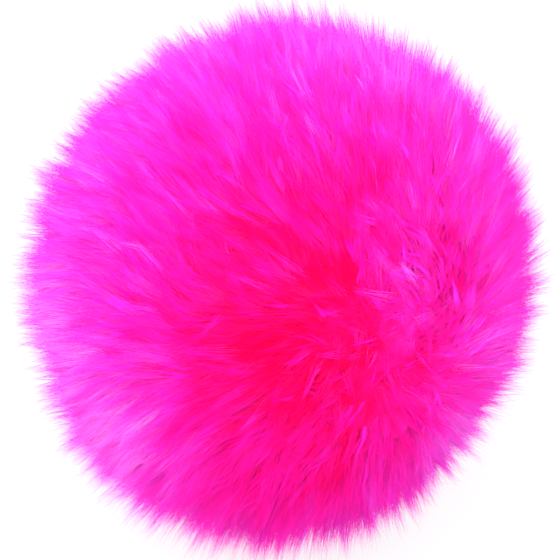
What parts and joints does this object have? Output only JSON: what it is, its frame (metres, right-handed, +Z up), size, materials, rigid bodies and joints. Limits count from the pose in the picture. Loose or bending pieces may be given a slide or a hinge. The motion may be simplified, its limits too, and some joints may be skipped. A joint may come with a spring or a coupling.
{
  "type": "fur pom pom",
  "caption": "Round fur pom pom: long soft locks spread from a crown over a small backing ball, level underneath where it rests.",
  "frame": {"origin": "on the surface that the ball rests on, right under the ball's centre, in the middle of one lock's level end", "axes": "+Z up; -Y to the front, where the crown that the fur spreads from shows, turned a little to +X"},
  "size_m": [0.0951, 0.0973, 0.0955],
  "materials": {
    "fur": "soft matt pile, dyed bright pink, redder at the roots and paler at the tips"
  },
  "bodies": {
    "root": {"fur_ball": "fur"}
  },
  "joints": []
}
